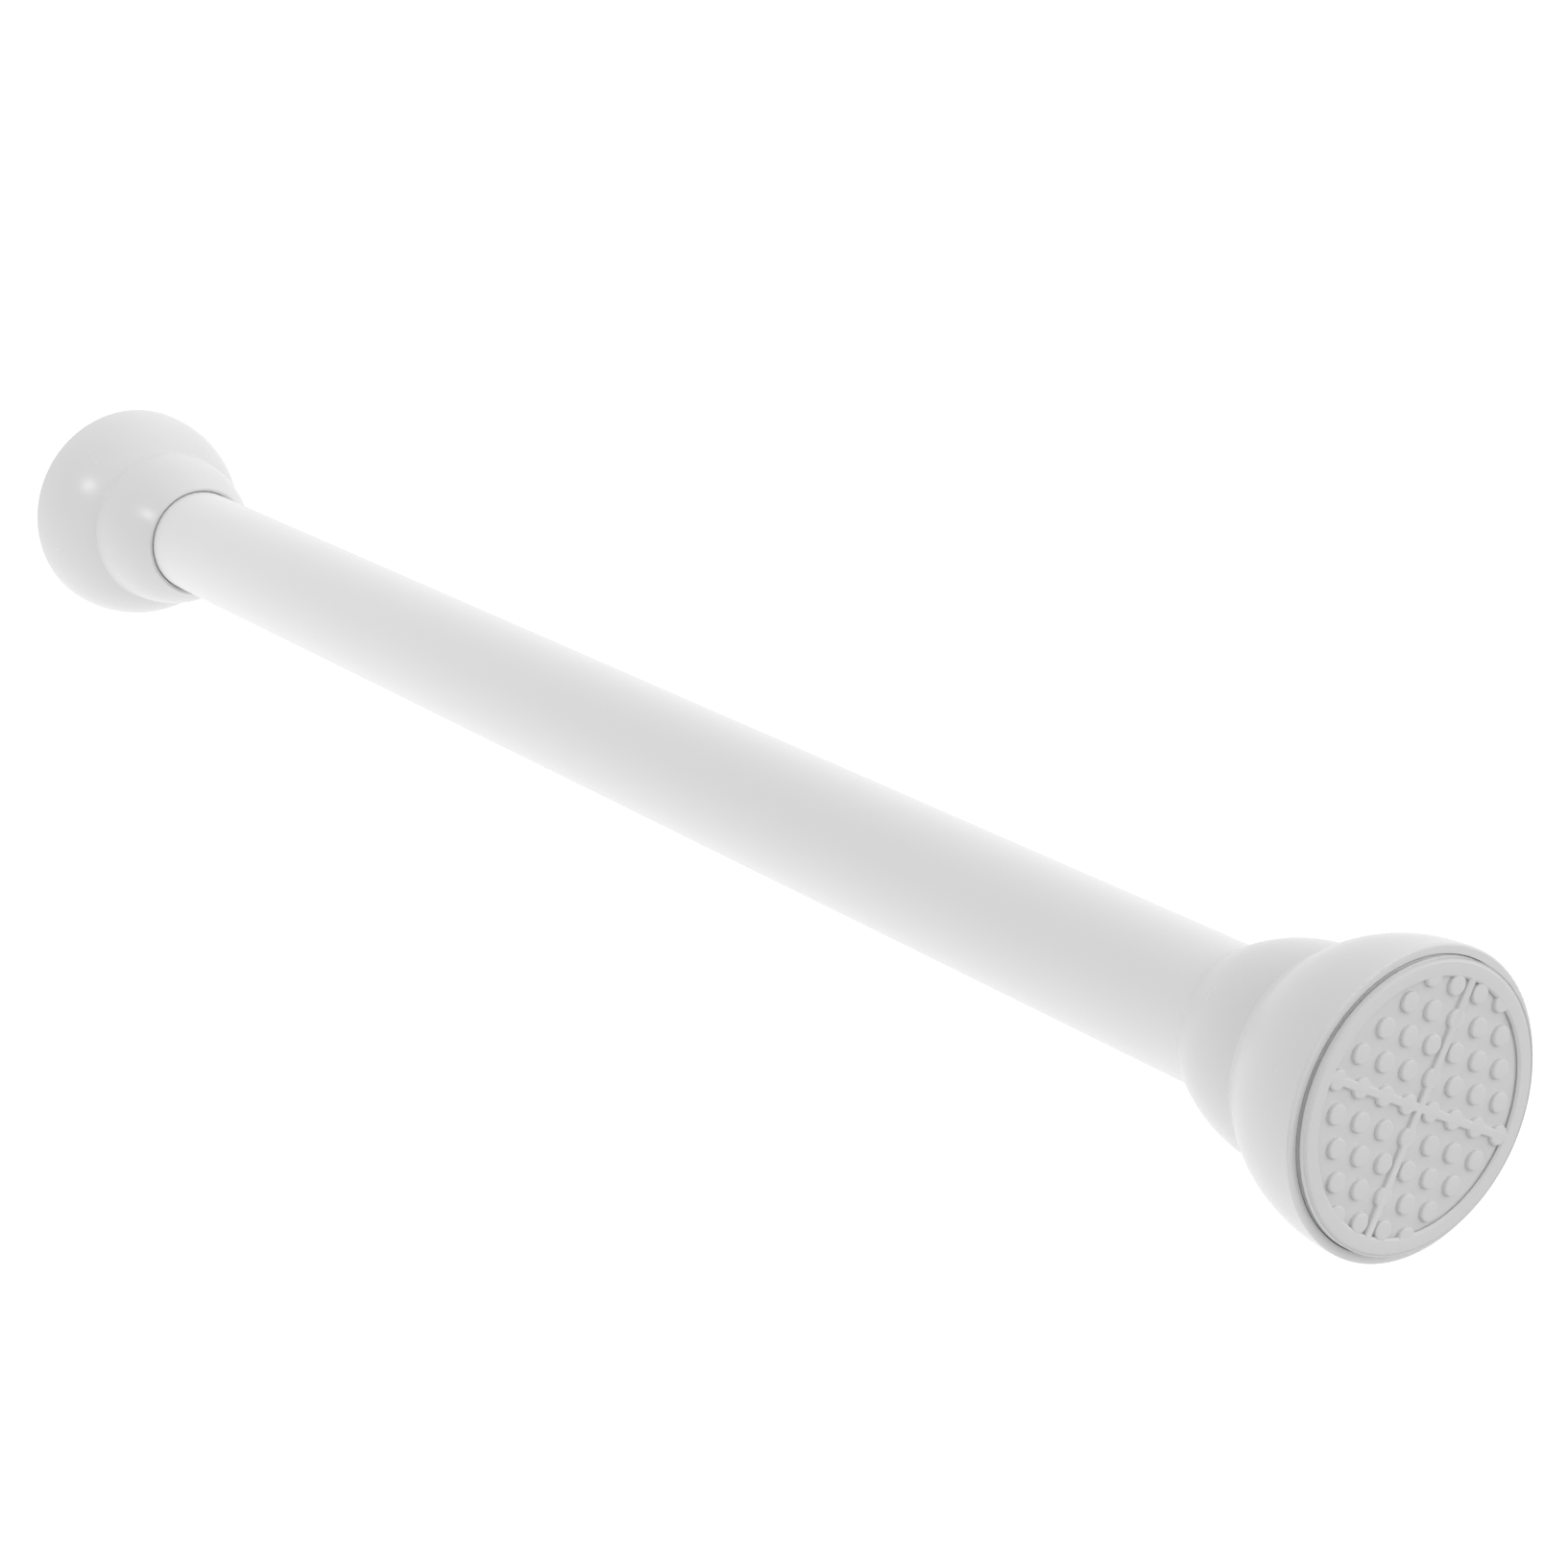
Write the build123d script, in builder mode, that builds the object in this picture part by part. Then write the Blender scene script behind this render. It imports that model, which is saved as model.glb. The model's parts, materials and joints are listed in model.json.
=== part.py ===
from build123d import *
import os
from math import ceil, radians, sqrt, tan

# Extendable tension curtain rod, closed: a thin tube slides in a thick tube, and each tube carries
# a bell-shaped end cap with a studded pad that presses on a wall. Twisting the thick tube draws a
# cone into a split sleeve, which then grips the thick tube from inside, and a spring in the thin
# tube presses the two caps apart. Millimetres. The origin is the centre of the thin tube's wall
# face, +X runs along the rod to the thick tube's wall face, and +Z is up.

# Overall size
closed_length = 410.0
spring_stroke = 15.0

# Thick and thin tube, with the liner between them
outer_diameter = 22.0
outer_wall = 0.6
inner_wall = 0.6
liner_wall = 0.8
liner_length = 40.0
liner_flange = 1.2
liner_slit = 2.0

# Fits and gaps
running_fit = 0.05
press_gap = 0.05
collar_gap = 0.1
stop_gap = 0.2
mouth_clearance = 0.8

# End cap: two domes step up from the collar to the rim
cap_length = 35.0
crease_depth = 18.4
collar_lip = 0.75
collar_rise = 5.6
bell_rise = 6.2
rim_band = 0.8
rim_width = 1.4
rim_round = 0.4
crease_round = 0.8
lip_round = 0.2
bore_round = 0.5
cap_wall = 2.0
floor_thickness = 2.8
cap_rib = 1.6
cap_rib_count = 6
rib_root = 0.4
head_recess_radius = 7.0

# Wall pad
pad_proud = 1.4
pad_seat = 2.5
pad_gap = 0.15
pad_edge_round = 0.8
pad_border = 2.75
pad_relief = 0.7
pad_turn = -27.0
pad_rib = 1.3
stud_diameter = 3.0
stud_pitch = 5.0

# Plugs in the tubes' capped ends, and the screws that hold the caps to them
plug_length = 16.0
plug_flange = 1.2
plug_wall = 1.5
plug_web = 3.0
plug_boss_radius = 4.2
plug_rib = 1.4
plug_rib_count = 4
screw_diameter = 4.0
screw_length = 16.0
screw_point = 1.2
screw_head_radius = 3.9
screw_head_height = 2.3
screw_head_gap = 0.4
screw_slot = 1.0
screw_slot_length = 4.4
screw_slot_depth = 1.2

# Spring and its stop in the thin tube
spring_length = 70.0
spring_wire = 1.8
spring_turns = 8
spring_gap = 1.4
spring_stop_length = 10.0
spring_stop_nose = 6.0
nose_gap = 1.0
stop_pin_diameter = 3.0
stop_pin_recess = 0.2

# Plunger, its guide in the thin tube's mouth, and the rings on it
guide_length = 14.0
guide_flange = 2.0
guide_flange_gap = 0.3
shank_diameter = 10.0
shank_flats = 8.0
tail_diameter = 8.0
tail_chamfer = 1.0
seat_thickness = 1.5
seat_gap = 0.5
ring_thickness = 0.8
ring_width = 2.0
ring_groove = 0.8
ring_opening = 4.5
plunger_collar = 3.0
plunger_collar_rise = 3.0
thrust_washer_thickness = 1.0
thrust_washer_width = 3.5
journal_diameter = 8.0
thread_diameter = 7.0
thread_tail = 1.0
thread_chamfer = 0.6
plunger_nose_gap = 10.2

# Twist lock: split sleeve, cone nut and end nut
sleeve_length = 26.0
sleeve_hub = 3.0
finger_wall = 1.5
finger_length = 20.0
finger_slot = 2.2
finger_count = 4
grip_groove = 1.0
grip_groove_depth = 0.4
grip_groove_count = 4
taper_angle = 7.0
end_play = 0.1
lock_travel = 3.0
wedge_gap = 0.05
cone_length = 16.0
cone_fin_length = 8.0
cone_fin_recess = 0.4
fin_fit = 0.1
nut_height = 5.0
nut_width = 11.0
nut_gap = 0.3

# Radii that follow from the tubes and their fits
outer_radius = outer_diameter / 2
outer_bore = outer_radius - outer_wall
liner_radius = outer_bore - press_gap
liner_bore = liner_radius - liner_wall
inner_radius = liner_bore - running_fit
inner_bore = inner_radius - inner_wall
inner_plug_radius = inner_bore - press_gap
outer_plug_radius = outer_bore - press_gap
cap_bore = outer_radius + collar_gap
collar_radius = cap_bore + collar_lip
crease_radius = cap_bore + collar_rise
rim_radius = crease_radius + bell_rise
socket_radius = cap_bore + cap_wall
pocket_radius = rim_radius - rim_width
pad_radius = pocket_radius - pad_gap
pad_field = pad_radius - pad_border
plug_flange_radius = cap_bore - press_gap
screw_radius = screw_diameter / 2
spring_radius = inner_bore - spring_gap - spring_wire / 2
stop_nose_radius = spring_radius - spring_wire / 2 - seat_gap
shank_radius = shank_diameter / 2
tail_radius = tail_diameter / 2
journal_radius = journal_diameter / 2
thread_radius = thread_diameter / 2
ring_bore = tail_radius - ring_groove
guide_flange_radius = outer_bore - guide_flange_gap
taper = tan(radians(taper_angle))
sleeve_radius = outer_bore - running_fit
sleeve_mouth = sleeve_radius - finger_wall
sleeve_throat = sleeve_mouth - finger_length * taper
cone_radius = sleeve_mouth - wedge_gap
cone_fin_radius = sleeve_radius - cone_fin_recess

# Stations along the rod, from the thin tube's wall face
floor_depth = pad_seat + screw_head_gap + screw_head_height + floor_thickness
inner_rim = pad_proud
inner_floor = inner_rim + floor_depth
inner_tube_start = inner_floor + plug_flange
mouth = inner_tube_start + mouth_clearance + spring_stroke
outer_tube_start = mouth + liner_flange
outer_rim = closed_length - pad_proud
outer_tube_end = outer_rim - floor_depth - plug_flange
plunger_end = outer_tube_end - plug_length - plunger_nose_gap
nut_start = plunger_end - thread_tail - nut_height
cone_end = nut_start - nut_gap
sleeve_end = cone_end - lock_travel
sleeve_start = sleeve_end - sleeve_length
thrust_washer_start = sleeve_start - end_play - thrust_washer_thickness
collar_start = thrust_washer_start - plunger_collar
guide_end = collar_start - stop_gap - spring_stroke
inner_tube_end = guide_end - guide_flange
guide_start = inner_tube_end - guide_length
shoulder = guide_start - stop_gap
seat_start = shoulder - seat_thickness
spring_start = seat_start - spring_length
stop_pin_station = spring_start - spring_stop_length / 2
tail_start = spring_start + spring_stop_nose + spring_stroke + nose_gap

# A cap's section plane has its x from the rim towards the tube and its y along the radius.
# A pad's face plane is seen from outside, with its y upwards.
inner_section = Plane(origin=(inner_rim, 0, 0), x_dir=(1, 0, 0), z_dir=(0, -1, 0))
outer_section = Plane(origin=(outer_rim, 0, 0), x_dir=(-1, 0, 0), z_dir=(0, 1, 0))
inner_face = Plane(origin=(0, 0, 0), x_dir=(0, -1, 0), z_dir=(-1, 0, 0))
outer_face = Plane(origin=(closed_length, 0, 0), x_dir=(0, 1, 0), z_dir=(1, 0, 0))


def across(station):
    """Plane across the rod at a station, with its normal along +X."""
    return Plane.YZ.offset(station)


def around(section, count):
    """Copies of a section plane, spread evenly round the rod's axis."""
    return [section.rotated((turn * 360 / count, 0, 0)) for turn in range(count)]


# Tubes
with BuildPart() as outer_tube:
    with BuildSketch(across(outer_tube_start)):
        Circle(outer_radius)
        Circle(outer_bore, mode=Mode.SUBTRACT)
    extrude(amount=outer_tube_end - outer_tube_start)

with BuildPart() as inner_tube:
    with BuildSketch(across(inner_tube_start)):
        Circle(inner_radius)
        Circle(inner_bore, mode=Mode.SUBTRACT)
    extrude(amount=inner_tube_end - inner_tube_start)
    with BuildSketch(Plane.XY):
        with Locations((stop_pin_station, 0)):
            Circle(stop_pin_diameter / 2 + press_gap)
    extrude(amount=outer_radius, both=True, mode=Mode.SUBTRACT)

# Slit liner in the thick tube's mouth, which the thin tube runs in
with BuildPart() as outer_mouth_bush:
    with BuildSketch(across(mouth)):
        Circle(outer_radius - press_gap)
    extrude(amount=liner_flange)
    with BuildSketch(across(outer_tube_start)):
        Circle(liner_radius)
    extrude(amount=liner_length - liner_flange)
    with BuildSketch(across(mouth)):
        Circle(liner_bore)
        with Locations((0, -outer_radius)):
            Rectangle(liner_slit, 2 * outer_radius)
    extrude(amount=liner_length, mode=Mode.SUBTRACT)


# End caps, the same moulding at both ends
def end_cap(section):
    """Bell-shaped cap with a socket for the tube and a ribbed hollow behind the pad."""
    floor_start = floor_depth - floor_thickness
    hole_radius = screw_radius + press_gap
    hollow_depth = crease_depth - cap_wall
    hollow_mouth = rim_radius - cap_wall
    hollow_end = crease_radius - cap_wall
    with BuildPart() as cap:
        with BuildSketch(section) as bell:
            with BuildLine():
                Polyline((0, 0), (0, rim_radius), (rim_band, rim_radius))
                TangentArc((rim_band, rim_radius), (crease_depth, crease_radius), tangent=(1, 0))
                TangentArc((crease_depth, crease_radius), (cap_length, collar_radius), tangent=(1, 0))
                Polyline((cap_length, collar_radius), (cap_length, 0), (0, 0))
            make_face()
            fillet(bell.vertices().sort_by_distance((0, rim_radius))[0], rim_round)
            fillet(bell.vertices().sort_by_distance((crease_depth, crease_radius))[0], crease_round)
            fillet(bell.vertices().sort_by_distance((cap_length, collar_radius))[0], lip_round)
        revolve(axis=Axis.X)
        with BuildSketch(section):
            with BuildLine():
                Polyline((pad_seat, socket_radius), (pad_seat, hollow_mouth))
                TangentArc((pad_seat, hollow_mouth), (hollow_depth, hollow_end), tangent=(1, 0))
                Polyline(
                    (hollow_depth, hollow_end),
                    (hollow_depth, socket_radius),
                    (pad_seat, socket_radius),
                )
            make_face()
        revolve(axis=Axis.X, mode=Mode.SUBTRACT)
        with BuildSketch(*around(section, cap_rib_count)):
            with BuildLine():
                Polyline((pad_seat, socket_radius - rib_root), (pad_seat, hollow_mouth + rib_root))
                TangentArc(
                    (pad_seat, hollow_mouth + rib_root),
                    (hollow_depth, hollow_end + rib_root),
                    tangent=(1, 0),
                )
                Polyline(
                    (hollow_depth, hollow_end + rib_root),
                    (hollow_depth, socket_radius - rib_root),
                    (pad_seat, socket_radius - rib_root),
                )
            make_face()
        extrude(amount=cap_rib / 2, both=True)
        with BuildSketch(section):
            with BuildLine():
                Polyline(
                    (0, 0),
                    (0, pocket_radius),
                    (pad_seat, pocket_radius),
                    (pad_seat, head_recess_radius),
                    (floor_start, head_recess_radius),
                    (floor_start, hole_radius),
                    (floor_depth, hole_radius),
                    (floor_depth, cap_bore),
                    (cap_length, cap_bore),
                    (cap_length, 0),
                    close=True,
                )
            make_face()
        revolve(axis=Axis.X, mode=Mode.SUBTRACT)
        circles = cap.edges().filter_by(GeomType.CIRCLE)
        bore_edges = circles.filter_by(lambda edge: abs(edge.radius - cap_bore) < press_gap)
        fillet(bore_edges.sort_by_distance(section.origin)[-1], bore_round)
    return cap


inner_end_cap = end_cap(inner_section)
outer_end_cap = end_cap(outer_section)


# Wall pads: a border, two crossed ribs and staggered studs stand level above a sunk field
def wall_pad(face):
    """Soft pad seated in a cap's pocket, with its studded face on the wall."""
    stud_radius = stud_diameter / 2
    row_pitch = stud_pitch * sqrt(3) / 2
    reach = pad_field + stud_radius / 2
    rows = ceil(reach / row_pitch)
    columns = ceil(reach / stud_pitch) + 1
    studs = []
    for row in range(-rows, rows + 1):
        shift = 0.5 if row % 2 == 0 else 0.0
        for column in range(-columns, columns):
            stud = Vector((column + shift) * stud_pitch, row * row_pitch)
            if stud.length < reach:
                studs.append(stud)
    with BuildPart() as pad:
        with BuildSketch(face.offset(-pad_proud - pad_seat)):
            Circle(pad_radius)
        extrude(amount=pad_proud + pad_seat)
        rims = pad.edges().filter_by(GeomType.CIRCLE)
        fillet(rims.sort_by_distance(face.origin)[0], pad_edge_round)
        with BuildSketch(face.rotated((0, 0, pad_turn))):
            Circle(pad_field)
            Rectangle(2 * pad_field, pad_rib, mode=Mode.SUBTRACT)
            Rectangle(pad_rib, 2 * pad_field, mode=Mode.SUBTRACT)
            with Locations(*studs):
                Circle(stud_radius, mode=Mode.SUBTRACT)
        extrude(amount=-pad_relief, mode=Mode.SUBTRACT)
    return pad


inner_pad = wall_pad(inner_face)
outer_pad = wall_pad(outer_face)


# Plugs in the tubes' capped ends
def tube_plug(section, plug_radius):
    """Flanged cup with a ribbed boss, pressed into a tube and screwed to the cap's floor."""
    hole_radius = screw_radius + press_gap
    cup_radius = plug_radius - plug_wall
    flange_end = floor_depth + plug_flange
    plug_end = flange_end + plug_length
    web_end = floor_depth + plug_web
    with BuildPart() as plug:
        with BuildSketch(section):
            with BuildLine():
                Polyline(
                    (floor_depth, hole_radius),
                    (floor_depth, plug_flange_radius),
                    (flange_end, plug_flange_radius),
                    (flange_end, plug_radius),
                    (plug_end, plug_radius),
                    (plug_end, cup_radius),
                    (web_end, cup_radius),
                    (web_end, plug_boss_radius),
                    (plug_end, plug_boss_radius),
                    (plug_end, hole_radius),
                    close=True,
                )
            make_face()
        revolve(axis=Axis.X)
        with BuildSketch(*around(section, plug_rib_count)):
            with BuildLine():
                Polyline(
                    (web_end, plug_boss_radius - rib_root),
                    (web_end, cup_radius + rib_root),
                    (plug_end, cup_radius + rib_root),
                    (plug_end, plug_boss_radius - rib_root),
                    close=True,
                )
            make_face()
        extrude(amount=plug_rib / 2, both=True)
    return plug


inner_tube_plug = tube_plug(inner_section, inner_plug_radius)
outer_tube_plug = tube_plug(outer_section, outer_plug_radius)


# Screws through the caps' floors into the plugs
def cap_screw(section):
    """Cross-head tapping screw, its thread drawn as a plain shank."""
    seat = floor_depth - floor_thickness
    head_top = seat - screw_head_height
    tip = seat + screw_length
    with BuildPart() as screw:
        with BuildSketch(section):
            with BuildLine():
                Polyline(
                    (head_top, 0),
                    (head_top, screw_head_radius),
                    (seat, screw_head_radius),
                    (seat, screw_radius),
                    (tip - screw_point, screw_radius),
                    (tip, screw_radius / 2),
                    (tip, 0),
                    close=True,
                )
            make_face()
        revolve(axis=Axis.X)
        with BuildSketch(Plane(section.from_local_coords((head_top, 0)), z_dir=section.x_dir)):
            Rectangle(screw_slot_length, screw_slot)
            Rectangle(screw_slot, screw_slot_length)
        extrude(amount=screw_slot_depth, mode=Mode.SUBTRACT)
    return screw


inner_cap_screw = cap_screw(inner_section)
outer_cap_screw = cap_screw(outer_section)

# Spring, wound as half turns that swing from the top of the coil to the bottom and back
half_turns = 2 * spring_turns
coil_start = spring_start + spring_wire / 2 + press_gap
coil_step = (spring_length - spring_wire - 2 * press_gap) / half_turns
with BuildPart() as pressure_spring:
    for half in range(half_turns):
        side = 1 if half % 2 == 0 else -1
        begin = coil_start + half * coil_step
        with BuildSketch(Plane(origin=(begin, 0, side * spring_radius), z_dir=(0, 1, 0))):
            Circle(spring_wire / 2)
        swing = Axis((begin + coil_step / 2, 0, 0), (-spring_radius, 0, -side * coil_step / 2))
        revolve(axis=swing, revolution_arc=180)

# Stop for the spring's back end, pinned in the thin tube
with BuildPart() as spring_stop:
    with BuildSketch(across(spring_start - spring_stop_length)):
        Circle(inner_plug_radius)
    extrude(amount=spring_stop_length)
    with BuildSketch(across(spring_start)):
        Circle(stop_nose_radius)
    extrude(amount=spring_stop_nose)
    chamfer(spring_stop.edges().sort_by(Axis.X)[-1], tail_chamfer)
    with BuildSketch(Plane.XY):
        with Locations((stop_pin_station, 0)):
            Circle(stop_pin_diameter / 2 + press_gap)
    extrude(amount=outer_radius, both=True, mode=Mode.SUBTRACT)

with BuildPart() as stop_pin:
    with BuildSketch(Plane.XY):
        with Locations((stop_pin_station, 0)):
            Circle(stop_pin_diameter / 2)
    extrude(amount=inner_radius - stop_pin_recess, both=True)

# Guide in the thin tube's mouth, with flats that keep the plunger from turning
with BuildPart() as guide_bush:
    with BuildSketch(across(guide_start)):
        Circle(inner_plug_radius)
    extrude(amount=guide_length)
    with BuildSketch(across(inner_tube_end)):
        Circle(guide_flange_radius)
    extrude(amount=guide_flange)
    with BuildSketch(across(guide_start)):
        Circle(shank_radius + running_fit)
        Rectangle(4 * shank_radius, shank_flats + 2 * running_fit, mode=Mode.INTERSECT)
    extrude(amount=guide_length + guide_flange, mode=Mode.SUBTRACT)

# Plunger: tail in the spring, flatted shank in the guide, collar, journal and thread
with BuildPart() as plunger_rod:
    with BuildSketch(across(tail_start)):
        Circle(tail_radius)
    extrude(amount=shoulder - tail_start)
    chamfer(plunger_rod.edges().sort_by(Axis.X)[0], tail_chamfer)
    with BuildSketch(across(seat_start - ring_thickness - press_gap)):
        Circle(tail_radius)
        Circle(ring_bore, mode=Mode.SUBTRACT)
    extrude(amount=ring_thickness + press_gap, mode=Mode.SUBTRACT)
    with BuildSketch(across(shoulder)):
        Circle(shank_radius)
        Rectangle(4 * shank_radius, shank_flats, mode=Mode.INTERSECT)
    extrude(amount=collar_start - shoulder)
    with BuildSketch(across(collar_start)):
        Circle(shank_radius + plunger_collar_rise)
    extrude(amount=plunger_collar)
    with BuildSketch(across(thrust_washer_start)):
        Circle(journal_radius)
    extrude(amount=sleeve_start + sleeve_hub - thrust_washer_start)
    with BuildSketch(across(sleeve_start + sleeve_hub)):
        Circle(thread_radius)
    extrude(amount=plunger_end - sleeve_start - sleeve_hub)
    chamfer(plunger_rod.edges().sort_by(Axis.X)[-1], thread_chamfer)

# Rings on the plunger
with BuildPart() as spring_seat:
    with BuildSketch(across(seat_start)):
        Circle(inner_bore - seat_gap)
        Circle(tail_radius + running_fit, mode=Mode.SUBTRACT)
    extrude(amount=seat_thickness)

with BuildPart() as retaining_ring:
    with BuildSketch(across(seat_start - ring_thickness)):
        Circle(ring_bore + ring_width)
        Circle(ring_bore + press_gap, mode=Mode.SUBTRACT)
        with Locations((0, -ring_bore - ring_width)):
            Rectangle(ring_opening, 2 * ring_width + ring_bore, mode=Mode.SUBTRACT)
    extrude(amount=ring_thickness)

with BuildPart() as thrust_washer:
    with BuildSketch(across(thrust_washer_start)):
        Circle(journal_radius + thrust_washer_width)
        Circle(journal_radius + running_fit, mode=Mode.SUBTRACT)
    extrude(amount=thrust_washer_thickness)

with BuildPart() as end_nut:
    with BuildSketch(across(nut_start)):
        RegularPolygon(nut_width / 2, 6, major_radius=False)
        Circle(thread_radius + press_gap, mode=Mode.SUBTRACT)
    extrude(amount=nut_height)

# Split sleeve, whose fingers the cone spreads against the thick tube
with BuildPart() as expander_sleeve:
    with BuildSketch(Plane.XZ):
        with BuildLine():
            Polyline(
                (sleeve_start, journal_radius + running_fit),
                (sleeve_start, sleeve_radius),
                (sleeve_end, sleeve_radius),
                (sleeve_end, sleeve_mouth),
                (sleeve_end - finger_length, sleeve_throat),
                (sleeve_start + sleeve_hub, sleeve_throat),
                (sleeve_start + sleeve_hub, journal_radius + running_fit),
                close=True,
            )
        make_face()
    revolve(axis=Axis.X)
    with BuildSketch(across(sleeve_end - finger_length)):
        with PolarLocations(sleeve_radius, finger_count):
            Rectangle(2 * (sleeve_radius - sleeve_throat + finger_slot), finger_slot)
    extrude(amount=finger_length, mode=Mode.SUBTRACT)
    groove_pitch = finger_length / (grip_groove_count + 1)
    for groove in range(grip_groove_count):
        with BuildSketch(across(sleeve_end - (groove + 1) * groove_pitch)):
            Circle(sleeve_radius)
            Circle(sleeve_radius - grip_groove_depth, mode=Mode.SUBTRACT)
        extrude(amount=grip_groove, mode=Mode.SUBTRACT)

# Cone nut, keyed in the sleeve's slots by its fins
with BuildPart() as expander_cone:
    with BuildSketch(Plane.XZ):
        with BuildLine():
            Polyline(
                (cone_end - cone_length, 0),
                (cone_end - cone_length, cone_radius - cone_length * taper),
                (cone_end, cone_radius),
                (cone_end, 0),
                close=True,
            )
        make_face()
    revolve(axis=Axis.X)
    with BuildSketch(across(cone_end - cone_fin_length)):
        with PolarLocations(cone_fin_radius / 2, finger_count):
            Rectangle(cone_fin_radius, finger_slot - 2 * fin_fit)
    extrude(amount=cone_fin_length)
    with BuildSketch(across(cone_end - cone_length)):
        Circle(thread_radius + running_fit)
    extrude(amount=cone_length, mode=Mode.SUBTRACT)

# One file for each piece
pieces = {
    "inner_tube": inner_tube,
    "inner_end_cap": inner_end_cap,
    "inner_pad": inner_pad,
    "inner_tube_plug": inner_tube_plug,
    "inner_cap_screw": inner_cap_screw,
    "pressure_spring": pressure_spring,
    "spring_stop": spring_stop,
    "stop_pin": stop_pin,
    "guide_bush": guide_bush,
    "plunger_rod": plunger_rod,
    "spring_seat": spring_seat,
    "retaining_ring": retaining_ring,
    "thrust_washer": thrust_washer,
    "end_nut": end_nut,
    "expander_sleeve": expander_sleeve,
    "expander_cone": expander_cone,
    "outer_tube": outer_tube,
    "outer_mouth_bush": outer_mouth_bush,
    "outer_end_cap": outer_end_cap,
    "outer_pad": outer_pad,
    "outer_tube_plug": outer_tube_plug,
    "outer_cap_screw": outer_cap_screw,
}
os.makedirs("parts", exist_ok=True)
for name, piece in pieces.items():
    piece.part.label = name
    export_step(piece.part, f"parts/{name}.step")

print("rod opens by", round(inner_tube_end - mouth - liner_length - stop_gap, 3))
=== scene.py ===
# %% [markdown]
# # A telescopic curtain rod in a white studio
#
# The rod arrives as a set of solid pieces at their real size, each already in its place. This lesson
# dresses them: it makes the finishes, builds the pieces whose look needs more than a plain solid, and
# sets up a bright photo tent with a camera. The box of the solid rod is kept first, and the lamps are
# aimed at its ends.

# %% Load the rod's solid pieces
import json
import math

import bpy
from mathutils import Matrix, Vector


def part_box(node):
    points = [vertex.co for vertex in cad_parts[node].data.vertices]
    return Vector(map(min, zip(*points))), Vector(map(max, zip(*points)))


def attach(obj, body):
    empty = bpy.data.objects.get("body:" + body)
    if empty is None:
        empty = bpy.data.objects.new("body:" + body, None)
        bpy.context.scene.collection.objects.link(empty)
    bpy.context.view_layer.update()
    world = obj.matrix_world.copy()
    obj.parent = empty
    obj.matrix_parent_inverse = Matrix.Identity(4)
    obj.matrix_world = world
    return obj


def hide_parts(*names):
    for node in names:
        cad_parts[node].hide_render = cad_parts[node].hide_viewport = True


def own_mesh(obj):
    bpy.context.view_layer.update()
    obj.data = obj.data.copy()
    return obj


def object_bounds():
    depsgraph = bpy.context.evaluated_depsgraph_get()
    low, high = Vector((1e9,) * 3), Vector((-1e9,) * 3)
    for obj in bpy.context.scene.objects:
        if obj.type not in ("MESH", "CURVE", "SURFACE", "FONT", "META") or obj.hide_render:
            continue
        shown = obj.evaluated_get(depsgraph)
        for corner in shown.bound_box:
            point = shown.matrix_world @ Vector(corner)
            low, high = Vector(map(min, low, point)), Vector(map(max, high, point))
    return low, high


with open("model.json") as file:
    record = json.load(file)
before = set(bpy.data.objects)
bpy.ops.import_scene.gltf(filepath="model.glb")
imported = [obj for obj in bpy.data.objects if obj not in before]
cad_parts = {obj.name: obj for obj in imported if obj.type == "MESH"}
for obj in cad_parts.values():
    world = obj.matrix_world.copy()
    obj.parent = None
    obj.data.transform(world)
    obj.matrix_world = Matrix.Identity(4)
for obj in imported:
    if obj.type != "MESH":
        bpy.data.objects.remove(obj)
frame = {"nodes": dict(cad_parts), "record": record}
solid_low, solid_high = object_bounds()
MM = 0.001
solid_length = (solid_high.x - solid_low.x) / MM
print("closed rod:", round(solid_length, 1), "mm long,", len(frame["nodes"]), "pieces")

# %% [markdown]
# ## Camera
#
# The picture was taken from beside the near cap, a little above it, with a short telephoto lens. The place
# and angles below come from matching the outlines of both caps and the tube. Blender's camera looks down
# its own -Z axis, so a level view is a quarter turn about X, and the pitch takes a little off that.

# %% Set the camera
camera_place = Vector((0.7159, -0.3173, 0.1897))
camera_heading = math.radians(55.19)
camera_pitch = math.radians(18.37)

camera_data = bpy.data.cameras.new("portrait_camera")
camera_data.sensor_width = 36.0
camera_data.lens = 80.1
camera_data.clip_start = 0.01
camera_data.clip_end = 200.0
camera = bpy.data.objects.new("portrait_camera", camera_data)
camera.location = camera_place
camera.rotation_euler = (math.pi / 2 - camera_pitch, 0.0, camera_heading)
bpy.context.scene.collection.objects.link(camera)
bpy.context.scene.camera = camera
bpy.context.scene.view_settings.view_transform = "Standard"
print("camera stands", round((camera_place - solid_high).length, 3), "m from the near cap")

# %% [markdown]
# ## Two helpers for node trees
#
# Shaders and Geometry Nodes are both trees of nodes joined by links. One helper adds a node and either
# links each input to another node's output or sets it to a plain value, and a second one does a sum with
# a Math node. They keep the cells below short enough to read as recipes.


# %% Define the node helpers
def add(tree, kind, inputs=None, **settings):
    """Adds a node, sets its options, and links or sets each of its inputs."""
    node = tree.nodes.new(kind)
    for setting, value in settings.items():
        setattr(node, setting, value)
    for key, value in (inputs or {}).items():
        if isinstance(value, bpy.types.NodeSocket):
            tree.links.new(value, node.inputs[key])
        else:
            node.inputs[key].default_value = value
    return node


def calc(tree, operation, *values):
    """The output of a Math node on one, two or three values or sockets."""
    return add(tree, "ShaderNodeMath", dict(enumerate(values)), operation=operation).outputs[0]


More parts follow.
